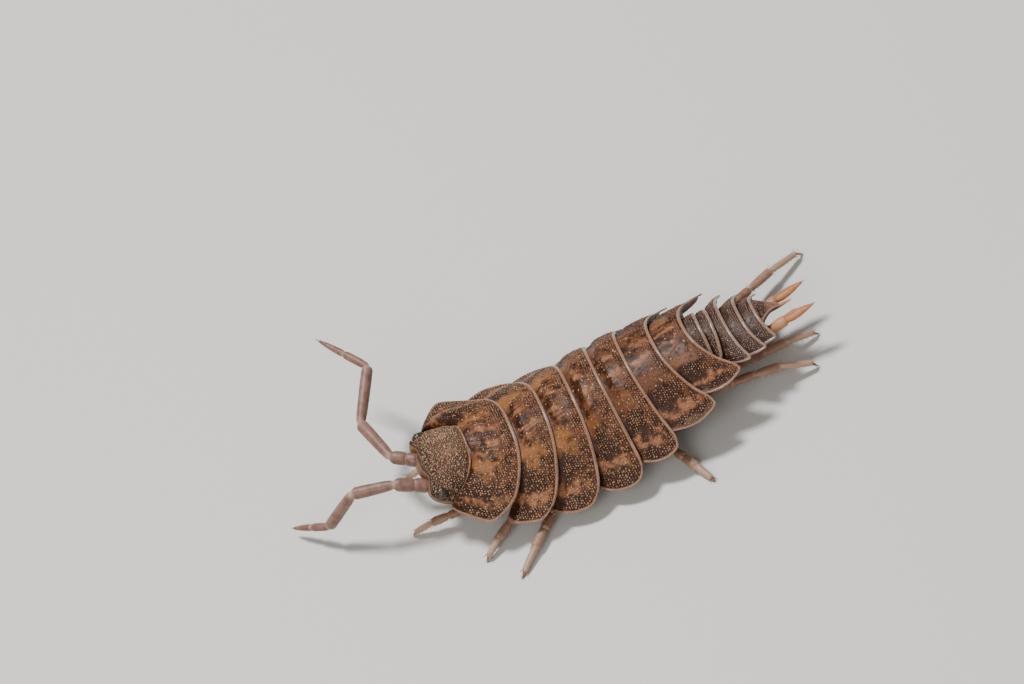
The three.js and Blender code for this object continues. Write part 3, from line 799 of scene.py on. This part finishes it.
    def under_side(self):
        """Rows of points: a rounded lip and its root, the rear wall, the belly and the front wall."""
        belly = belly_height(self.index)
        front_x, front_s, front_z = self.x[:, 0], self.s[:, 0], self.z[:, 0]
        rear_x, rear_s, rear_z = self.x[:, -1], self.s[:, -1], self.z[:, -1]
        side = np.abs(self.share)
        wall_s = rear_s - overlap_of(self.index)
        wall_x = mix(front_x, rear_x, 0.9)
        outward = np.clip((side - BELLY_SHARE) / (1 - BELLY_SHARE), 0, 1)
        thick = mix(EPIMERON_THICKNESS, EDGE_THICKNESS, outward)
        lobe = smoothstep(side, BELLY_SHARE - 0.03, BELLY_SHARE + 0.03)

        def bottom(z_top):
            low = np.minimum(belly, z_top - EPIMERON_THICKNESS)
            return mix(low, z_top - thick, lobe)

        rows = []
        for angle in LIP_ANGLES:
            a = math.radians(angle)
            rows.append((rear_x, rear_s + 0.4 * LIP * math.sin(a), rear_z - LIP * (1 - math.cos(a)) / 2))
        rows.append((rear_x, rear_s - 0.03, rear_z - LIP))
        rows.append((wall_x, wall_s, rear_z - LIP))
        rows.append((wall_x, wall_s - 0.02, np.minimum(bottom(rear_z), rear_z - LIP - 0.03)))
        for k in np.linspace(0.08, 0.92, 9):
            low = bottom(self.z[:, int((1 - k) * (self.along - 1))]) - 0.05 * math.sin(k * math.pi)
            rows.append((mix(wall_x, front_x, k), mix(wall_s, front_s, k), low))
        rows.append((front_x, front_s + 0.03, np.minimum(bottom(self.z[:, 1]), front_z - 0.08)))
        return np.stack([on_body(*row) for row in rows], 1)

    def build(self):
        top, marks = self.top()
        under_side = self.under_side()
        full = with_blank(marks, under_side.shape[1])
        lip_rows = len(LIP_ANGLES) + 2
        full["pale"][:, self.along:] = 0.5
        full["border"][:, self.along:self.along + lip_rows] = 1.0
        skin = Skin()
        skin.loft(np.concatenate([top, under_side], 1), **full)
        name = self.plate["name"]
        skin.piece(f"{name}_shell", "tail_plate" if self.tail else "back_plate", name)


for i in range(len(PLATES)):
    BackPlate(i).build()


# Telson


def telson_piece():
    before = PLATES[-1]
    tip = TELSON["tip"]
    along = 140
    q, v = np.meshgrid(crowded(131, 1.3), np.linspace(0, 1, along), indexing="ij")
    half = mix(TELSON["tip_half"], TELSON["root"], (1 - v) ** 1.5)
    half = half * np.sqrt(1 - np.clip((v - 0.94) / 0.065, 0, 1) ** 2)
    x = q * half
    s = mix(hind_margin(before, x) - TAIL_OVERLAP + GAP, tip, v)
    ridge = mix(before["ridge"] - LIP - GAP, TELSON["tip_height"], v**1.2) + 0.05 * np.sin(math.pi * v)
    hollow = 0.05 * bell(x, 0, 0.12) * smoothstep(v, 0.35, 0.8)
    z = ridge - TELSON_SLOPE * half * q**2 - hollow
    edge = np.minimum((1 - np.abs(q)) * half, (1 - v) * 0.9)
    bumps = granules(x, s, TELSON_GRAIN_SPACING, TELSON_GRAIN, 71.0) * smoothstep(edge, 0.03, 0.12)
    top = on_body(x, s, z + TELSON_GRAIN_HEIGHT * bumps)

    # The under side is rounded, deep at the root and thin at the tip
    q_under, v_under = np.meshgrid(np.linspace(0.98, -0.98, 31), v[0], indexing="ij")
    half_under = half[0][None, :]
    x_under = q_under * half_under
    s_under = mix(hind_margin(before, x_under) - TAIL_OVERLAP + GAP + 0.02, tip - 0.03, v_under)
    deep = mix(TELSON["root_depth"], TELSON["tip_depth"], v_under) - 0.06
    thin = np.sqrt(np.clip(1 - q_under**2, 0, 1))
    z_under = ridge[0][None, :] - TELSON_SLOPE * half_under * q_under**2 - 0.06 - deep * thin
    under = on_body(x_under, s_under, z_under)

    dark = 0.6 * bell(v, 0.15, 0.2)
    pale = 0.9 * smoothstep(v, 0.3, 0.75)
    marks = dict(dark=dark, pale=pale, border=smoothstep(-edge, -0.1, -0.03), grain=bumps)
    skin = Skin()
    rings = np.concatenate([top, under], 0).transpose(1, 0, 2)
    skin.loft(rings, **with_blank({key: value.T for key, value in marks.items()}, len(q_under)))
    skin.piece("pleotelson_shell", "tail_plate", "pleotelson")


telson_piece()


# Head


def brow_at(x):
    side = np.abs(x)
    rounding = 0.7 * np.maximum(0, (side - LOBE_AT) / (HEAD_HALF - LOBE_AT)) ** 2
    return HEAD_FRONT + rounding + 0.15 * bell(side, 0.68, 0.28)


class Head:
    """The head shell: each ring runs over the crown, down the nape, forward underneath and up the face."""

    def __init__(self):
        self.x = (crowded(261, 1.35) * HEAD_HALF)[:, None]
        self.side = np.abs(self.x)
        self.brow = brow_at(self.x)
        self.brow_top = BROW_HEIGHT - BROW_DROP * (self.x / LOBE_AT) ** 2
        self.rear = np.maximum(self.brow + 0.14, hind_margin(HEAD_REAR, self.x) - 0.01)
        self.nape = arch(HEAD_REAR, self.side / HEAD_REAR["half"]) - 0.02
        self.bottom = np.minimum(HEAD_BOTTOM, self.brow_top - 0.3)
        self.face = np.minimum(FACE_DEPTH, (self.rear - self.brow) * 0.6)

    def crown(self):
        """The top of the head with its relief, and its marks."""
        v = np.linspace(0, 1, 140)[None, :]
        s = mix(self.brow, self.rear, v)
        x = np.broadcast_to(self.x, s.shape)
        inward = HEAD_HALF - self.side
        z = mix(self.brow_top, self.nape, np.sin(v * math.pi / 2)) + 0.05 * np.sin(math.pi * v)
        z = z - 0.05 * bell(v, 0.12, 0.06) * smoothstep(inward, 0.05, 0.4)
        z = z - 0.05 * bell(v, 0.93, 0.03) * smoothstep(inward, 0.1, 0.5)
        u = length_across(x, z)
        to_rear = self.rear - s
        bumps = granules(u, s, HEAD_GRAIN_SPACING, HEAD_GRAIN, 91.0, 1.0, 0.6)
        bumps = bumps * smoothstep(to_rear, 0.1, 0.14) * smoothstep(v, 0.03, 0.08)
        height = HEAD_GRAIN_HEIGHT * bumps + HEAD_WAVE_HEIGHT * waves(u, s, 3, 5.0)
        height = height + 0.015 * bell(to_rear, 0.05, 0.04)
        side = np.abs(x)
        dark = 0.8 * bell(v, 0.13, 0.13) + 0.55 * smoothstep(side, 0.95, 1.4)
        dark = np.maximum(dark, 0.45 * bell(side, 0, 0.1))
        at_brow = 0.7 * smoothstep(-v * np.ones_like(s), -0.03, -0.005)
        marks = dict(
            dark=dark,
            pale=0.7 * bell(side, 0.42, 0.2) * bell(v, 0.6, 0.22),
            ochre=0.2 * np.ones_like(s),
            border=np.maximum(smoothstep(-to_rear, -0.11, -0.05), at_brow),
            grain=bumps,
            # Painted glints: pale specks that stand in for highlights on the head
            glint=granules(u, s, HEAD_GLINT_SPACING, HEAD_GLINT, 95.0, 0.35, 0.9) * smoothstep(v, 0.1, 0.3),
        )
        return raised(on_body(x, s, z), height), marks

    def face_rows(self):
        """From the brow down: a flange, a hollow round each feeler and a swollen middle."""
        socket = bell(self.side, SOCKET_AT, 0.26)
        rows = []
        for k in np.linspace(0, 1, FACE_ROWS):
            swell = math.sin(math.pi * min(1, 1.2 * k)) * smoothstep(-self.side, -1.5, -0.9)
            s = self.brow + self.face * k**2.2 - FACE_SWELL * swell * (1 - 1.3 * socket)
            rows.append((self.x, s, mix(self.brow_top - 0.03, self.bottom, k)))
        return rows

    def back_rows(self):
        """From the mouth backwards underneath, and up the nape."""
        rows = []
        for k in np.linspace(0.08, 1, 12):
            s = mix(self.brow + self.face, mix(self.brow, self.rear, 0.86), k)
            rows.append((self.x, s, self.bottom + 0.03 * k))
        for k in np.linspace(0.15, 0.85, 5):
            rows.append((self.x, self.rear - 0.1 * (1 - k), mix(self.bottom + 0.03, self.nape - 0.06, k)))
        return rows

    def build(self):
        top, marks = self.crown()
        rows = [*reversed(self.back_rows()), *reversed(self.face_rows())]
        full = with_blank(marks, len(rows))
        full["pale"][:, -FACE_ROWS:] = 0.55
        full["ochre"][:, -FACE_ROWS:] = 0.3
        skin = Skin()
        skin.loft(np.concatenate([top, *(on_body(*row) for row in rows)], 1), **full)
        skin.piece("cephalon_shell", "head_shell", "cephalon")


Head().build()


# Limbs


def tube(path, radii, sides=16, flat=1.0):
    """Rings round a path, squeezed to the share flat of their height."""
    ways = unit(np.gradient(path, axis=0))
    side = unit(np.cross(ways, (0, 0, 1)))
    over = np.cross(side, ways)
    angle = angles_round(sides)
    c = np.cos(angle)[None, :, None]
    d = np.sin(angle)[None, :, None]
    around = c * side[:, None] + d * flat * over[:, None]
    return path[:, None] + radii[:, None, None] * around


def rounded_ends(t, cap, drop):
    """1 along a form, less in its round ends, cap long: they close to a point where drop is 1."""

    def rounding(away):
        return np.sqrt(np.clip(1 - np.clip(1 - away / cap, 0, 1) ** 2 * drop, 0, 1))

    return rounding(t - t[0]) * rounding(t[-1] - t)


def article(skin, start, end, shape, radius, flat=1.0, sides=16, light=0.0):
    """One hard length of a limb: shape lists (share, swell), smoothed between, and light is its paleness."""
    length = np.linalg.norm(end - start)
    shares, swells = np.array(shape, float).T
    t = np.linspace(0, 1, max(12, int(length / 0.045)))
    swell = np.interp(t, shares, swells)
    radii = np.convolve(np.pad(swell, 2, mode="edge"), [0.1, 0.2, 0.4, 0.2, 0.1], mode="valid") * radius
    radii = radii * rounded_ends(t, min(0.35, 0.8 * radius / length), 0.75)
    path = start + (end - start) * t[:, None]
    pale = np.clip(light + bell(t, 0, 0.06) + bell(1 - t, 0, 0.07), 0, 1)
    skin.loft(tube(path, radii, sides, flat), joint=np.repeat(pale[:, None], sides, 1))


def bezier(points, t):
    a, b, c, d = points
    t = t[:, None]
    return a * (1 - t) ** 3 + 3 * b * t * (1 - t) ** 2 + 3 * c * t * t * (1 - t) + d * t**3


def leg_joints(side, index):
    """The hip, the ends of the articles and the sole, along one smooth curve."""
    plate = PLATES[index]
    foot_x, foot_y, knee = FEET[side][index]
    hip_x = HIP_SHARE * plate["half"]
    hip_s = mix(hind_margin(before_plate(index), hip_x), hind_margin(plate, hip_x), HIP_ALONG)
    hip = on_side(SIGNS[side], (hip_x, hip_s, belly_height(index) + 0.05))
    from_x, from_y = (hip - PLACE)[:2]
    points = [
        hip,
        world((from_x * 0.82, mix(from_y, foot_y, 0.12), BASIS_HEIGHT)),
        world((mix(from_x, foot_x, 0.91), mix(from_y, foot_y, 0.91), knee)),
        world((foot_x, foot_y, 0)),
    ]
    dense = bezier(points, np.linspace(0, 1, 400))
    run = np.concatenate([[0], np.cumsum(np.linalg.norm(np.diff(dense, axis=0), axis=1))])
    ends = np.concatenate([[0], np.cumsum(ARTICLE_SHARES)]) / sum(ARTICLE_SHARES) * run[-1]
    return np.stack([np.interp(ends, run, dense[:, k]) for k in range(3)], 1)


def scatter_hairs(skin, start, end, axes, away, count, hair, rng):
    """Hairs all over a length of limb, rooted at a distance away from its middle line."""
    shortest, longest, radius, lean = hair
    turn = (rng.random(count) * 2 * math.pi)[:, None]
    aim = np.cos(turn) * axes[0] + np.sin(turn) * axes[1]
    at = start + (end - start) * rng.random(count)[:, None] + aim * away
    lengths = mix(shortest, longest, rng.random(count))
    skin.spikes(at, aim * lean + unit(end - start), lengths, radius, joint=0.6)


def leg_bristles(skin, k, start, end, rng):
    """Stout spines under article k and round its far end, and fine hairs all over it."""
    radius = ARTICLE_RADII[k]
    length = np.linalg.norm(end - start)
    way = unit(end - start)
    out = unit(np.cross(way, (0, 0, 1)))
    down = -np.cross(out, way)
    if down[2] > 0:
        down = -down

    def aim_at(turn):
        return np.cos(turn) * down + np.sin(turn) * out

    def spine(shortest, spread):
        return shortest + spread * rng.random()

    rows = max(2, int(length / SPINE_SPACING)) if k < CLAW else 1
    for row in range(rows):
        for turn in (-0.5, 0.5):
            aim = aim_at(turn)
            at = start + way * length * (row + 0.7) / rows + aim * radius * 0.8
            skin.spikes([at], [aim * 0.7 + way * 0.8], spine(*SPINE), SPINE_RADIUS, joint=0.2)
    if k < CLAW:
        for turn in angles_round(5) + 0.3:
            aim = aim_at(turn)
            at = end - way * 0.02 + aim * radius * 0.72
            skin.spikes([at], [aim * 0.5 + way], spine(*END_SPINE), END_SPINE_RADIUS, joint=0.2)
    scatter_hairs(skin, start, end, (down, out), radius * 0.8, int(length * HAIRS_PER_MM), LEG_HAIR, rng)


def leg_piece(side, index):
    rng = np.random.default_rng(100 + index + (50 if side == "left" else 0))
    joints = leg_joints(side, index)
    skin = Skin()
    for k, radius in enumerate(ARTICLE_RADII):
        way = unit(joints[k + 1] - joints[k])
        start = joints[k] - way * 0.05 * (k > 0)
        end = joints[k + 1] + way * 0.04 * (k < CLAW)
        article(skin, start, end, ARTICLE_SHAPES[k], radius, LEG_FLATNESS, light=ARTICLE_LIGHT[k])
        if k > 0:
            leg_bristles(skin, k, joints[k], joints[k + 1], rng)
    name = f"pereopod_{side}_{index + 1}"
    skin.piece(f"{name}_skin", "limb", name)


for i in range(FIRST_PLEONITE):
    for side in SIGNS:
        leg_piece(side, i)


def antenna_pieces(side):
    rng = np.random.default_rng(7 if side == "left" else 8)
    joints = [on_side(SIGNS[side], ANTENNA_ROOT)] + [world(at) for at in ANTENNAE[side]]
    for start, end, (part, hairs, articles) in zip(joints, joints[1:], ANTENNA_PARTS):
        hairs_from, hairs_to, away, count = hairs
        out = unit(np.cross(end - start, (0.2, 0.1, 1)))
        axes = (out, np.cross(unit(end - start), out))
        skin = Skin()
        for low, high, radius, sides, shape in articles:
            article(skin, mix(start, end, low), mix(start, end, high), shape, radius, sides=sides)
        hairy = (mix(start, end, hairs_from), mix(start, end, hairs_to))
        scatter_hairs(skin, *hairy, axes, away, count, ANTENNA_HAIR, rng)
        name = f"antenna_{side}_{part}"
        skin.piece(f"{name}_skin", "antenna", name)


for side in SIGNS:
    antenna_pieces(side)


# Eyes


def lens_ways():
    """Ways to evenly spread lenses over a ball, on a spiral from pole to pole."""
    k = np.arange(LENSES)
    high = 1 - 2 * (k + 0.5) / LENSES
    turn = k * math.pi * (3 - math.sqrt(5))
    flat = np.sqrt(1 - high**2)
    return np.stack([flat * np.cos(turn), flat * np.sin(turn), high], -1)


def eye_piece(side):
    """A mound of round lenses, turned outwards."""
    sign = SIGNS[side]
    phi, theta = np.meshgrid(np.linspace(0.02, math.pi - 0.02, 60), angles_round(90), indexing="ij")
    ball = np.stack([np.sin(phi) * np.cos(theta), np.sin(phi) * np.sin(theta), np.cos(phi)], -1)
    near = np.arccos(np.clip(ball.reshape(-1, 3) @ lens_ways().T, -1, 1)).min(1).reshape(phi.shape)
    dome = np.sqrt(np.clip(1 - (near / LENS_ANGLE) ** 2, 0, 1))
    place = ball * np.array(EYE_RADII) * (0.78 + 0.07 * dome[..., None])
    x, y, z = np.moveaxis(place, -1, 0)
    c = math.cos(EYE_TURN * sign)
    d = math.sin(EYE_TURN * sign)
    turned = np.stack([x * c + z * d, y, z * c - x * d], -1)
    skin = Skin()
    skin.loft(turned + on_side(sign, EYE_AT))
    skin.piece(f"eye_{side}_lenses", "eye", f"eye_{side}")


for side in SIGNS:
    eye_piece(side)


# Tail fan, gill flaps and mouth


def blade(skin, sign, ends, size, shape, steps=60, joint=0.0):
    """A rounded blade between two places on the body: size is its width and depth, and shape lists
    (share, swell) along it."""
    width, depth = size
    shares, swells = np.array(shape, float).T
    t = np.linspace(shares[0], shares[-1], steps)
    swell = np.convolve(np.pad(np.interp(t, shares, swells), 3, mode="edge"), np.ones(7) / 7, mode="valid")
    swell = swell * rounded_ends(t, 0.04, 0.8)
    angle = angles_round(24, 0.5)
    middle_x, s, middle_z = (mix(a, b, t[:, None]) for a, b in zip(*ends))
    x = sign * (middle_x + width / 2 * swell[:, None] * np.cos(angle))
    z = middle_z + depth / 2 * swell[:, None] * np.sin(angle)
    s = np.broadcast_to(s, x.shape)
    skin.loft(on_body(x, s, z), joint=joint)
    return x, s, z


def uropod_piece(side):
    sign = SIGNS[side]
    rng = np.random.default_rng(21 + sign)
    root, joint, tip = UROPOD["root"], UROPOD["joint"], UROPOD["tip"]
    skin = Skin()
    blade(skin, sign, (root, joint), STALK_SIZE, STALK_SHAPE, joint=0.3)
    x, s, z = blade(skin, sign, (joint, tip), EXOPOD_SIZE, EXOPOD_SHAPE)
    blade(skin, sign, (ENDOPOD["root"], ENDOPOD["tip"]), ENDOPOD_SIZE, ENDOPOD_SHAPE, steps=40)

    # Hairs over the outer blade, and a tuft at its tip
    pick = rng.integers(0, x.size, UROPOD_HAIRS)
    at = on_body(x.ravel()[pick], s.ravel()[pick], z.ravel()[pick])
    centre = on_body(sign * mix(joint[0], tip[0], 0.5), s.ravel()[pick], mix(joint[2], tip[2], 0.5))
    way = unit(on_side(sign, tip) - on_side(sign, joint))
    skin.spikes(at, (at - centre) * 2 + way, **UROPOD_HAIR, joint=0.8)
    for spread in np.linspace(-0.25, 0.25, 5):
        aim = way + np.array([spread, 0, 0.1 * spread])
        skin.spikes([on_side(sign, tip) - way * 0.03], [aim], **TUFT_HAIR, joint=0.5)
    skin.piece(f"uropod_{side}_skin", "uropod", f"uropod_{side}")


def gill_piece(side):
    sign = SIGNS[side]
    skin = Skin()
    angle = angles_round(28, 0.5)
    v = np.linspace(0, 1, 24)[:, None]
    wide = np.interp(v, [0, 0.15, 0.5, 0.8, 0.95, 1], [0.75, 0.95, 1, 0.85, 0.5, 0.15])
    thin = GILL_THICKNESS * np.interp(v, [0, 0.1, 0.9, 1], [0.5, 1, 1, 0.3])
    z = GILL_HEIGHT - GILL_FALL * v + thin * np.sin(angle)
    for i in range(GILLS["count"]):
        reach = mix(GILLS["widest"], GILLS["narrowest"], i / (GILLS["count"] - 1))
        x = sign * (GILLS["inner"] + reach * (1 + wide * np.cos(angle)) / 2)
        s = GILLS["start"] + GILLS["step"] * i + GILLS["length"] * v
        skin.loft(on_body(x, s, z))
    skin.piece(f"pleopods_{side}_skin", "gill", f"pleopods_{side}")


for side in SIGNS:
    uropod_piece(side)
    gill_piece(side)


def palp(sign):
    """A small feeler beside the mouth."""
    start = on_body(sign * 0.3, 0.42, HEAD_BOTTOM - 0.2)
    end = on_body(sign * 0.14, 0.02, HEAD_BOTTOM - 0.14)
    t = np.linspace(0, 1, 14)[:, None]
    radii = np.interp(t[:, 0], [0, 0.5, 1], [0.1, 0.085, 0.02])
    return tube(mix(start, end, t), radii, 14)


def mouth_piece():
    """Two flat lobes side by side under the head, each with its palp."""
    skin = Skin()
    angle = angles_round(24, 0.5)
    stations = [0.26, 0.42, 0.75, 1.1, 1.36]
    s = np.linspace(stations[0], stations[-1], 34)[:, None]
    half = np.interp(s, stations, [0.07, 0.2, 0.235, 0.235, 0.15])
    drop = np.interp(s, stations, [0.09, 0.18, 0.22, 0.2, 0.12])
    for sign in (1, -1):
        x = sign * (0.245 + half * np.cos(angle))
        skin.loft(on_body(x, s, HEAD_BOTTOM - 0.04 - drop + drop * np.sin(angle)), joint=0.2)
        skin.loft(palp(sign), joint=0.5)
    skin.piece("mouthparts_skin", "limb", "mouthparts")


mouth_piece()


# Floor, camera and lights


def build_floor():
    corners = [(x * FLOOR_HALF, y * FLOOR_HALF, 0) for x, y in ((-1, -1), (1, -1), (1, 1), (-1, 1))]
    mesh = bpy.data.meshes.new("floor")
    mesh.from_pydata(corners, [], [(0, 1, 2, 3)])
    mesh.materials.append(Nodes("floor").finish(FLOOR_COLOUR, 0.55))
    floor = bpy.data.objects.new("floor", mesh)
    bpy.context.scene.collection.objects.link(floor)


def camera_axes():
    back = np.array([
        math.sin(AZIMUTH) * math.cos(ELEVATION),
        -math.cos(AZIMUTH) * math.cos(ELEVATION),
        math.sin(ELEVATION),
    ])
    level = unit(np.cross(-back, (0, 0, 1)))
    upright = np.cross(level, -back)
    right = level * math.cos(ROLL) + upright * math.sin(ROLL)
    up = -level * math.sin(ROLL) + upright * math.cos(ROLL)
    return back, right, up


def add_camera():
    back, right, up = camera_axes()
    target = MIDDLE_POINT + PLACE
    focal = PIXELS_PER_MM * DISTANCE
    off_x = MIDDLE_PIXEL[0] - PHOTO_SIZE[0] / 2
    off_y = MIDDLE_PIXEL[1] - PHOTO_SIZE[1] / 2
    forward = unit(-back - right * off_x / focal + up * off_y / focal)
    side = unit(np.cross(forward, up))
    top = np.cross(side, forward)
    data = bpy.data.cameras.new("camera")
    data.sensor_width = SENSOR
    data.lens = focal / PHOTO_SIZE[0] * SENSOR
    data.clip_start = 0.001
    camera = bpy.data.objects.new("camera", data)
    rotation = Matrix([Vector(side), Vector(top), Vector(-forward)]).transposed().to_4x4()
    camera.matrix_world = Matrix.Translation(Vector((target + back * DISTANCE) * MM)) @ rotation
    bpy.context.scene.collection.objects.link(camera)
    bpy.context.scene.camera = camera


def add_light(name, place, size, power):
    data = bpy.data.lights.new(name, "AREA")
    data.shape = "DISK"
    data.size = size
    data.energy = power
    light = bpy.data.objects.new(name, data)
    light.location = place
    aim = Vector(LIGHTS_AIM) - Vector(place)
    light.rotation_euler = aim.to_track_quat("-Z", "Y").to_euler()
    bpy.context.scene.collection.objects.link(light)


def add_room():
    room = bpy.data.worlds.new("room")
    room.use_nodes = True
    background = room.node_tree.nodes["Background"]
    background.inputs["Color"].default_value = (*ROOM_COLOUR, 1)
    background.inputs["Strength"].default_value = ROOM_STRENGTH
    bpy.context.scene.world = room


build_floor()
add_camera()
for lamp in LIGHTS:
    add_light(*lamp)
add_room()
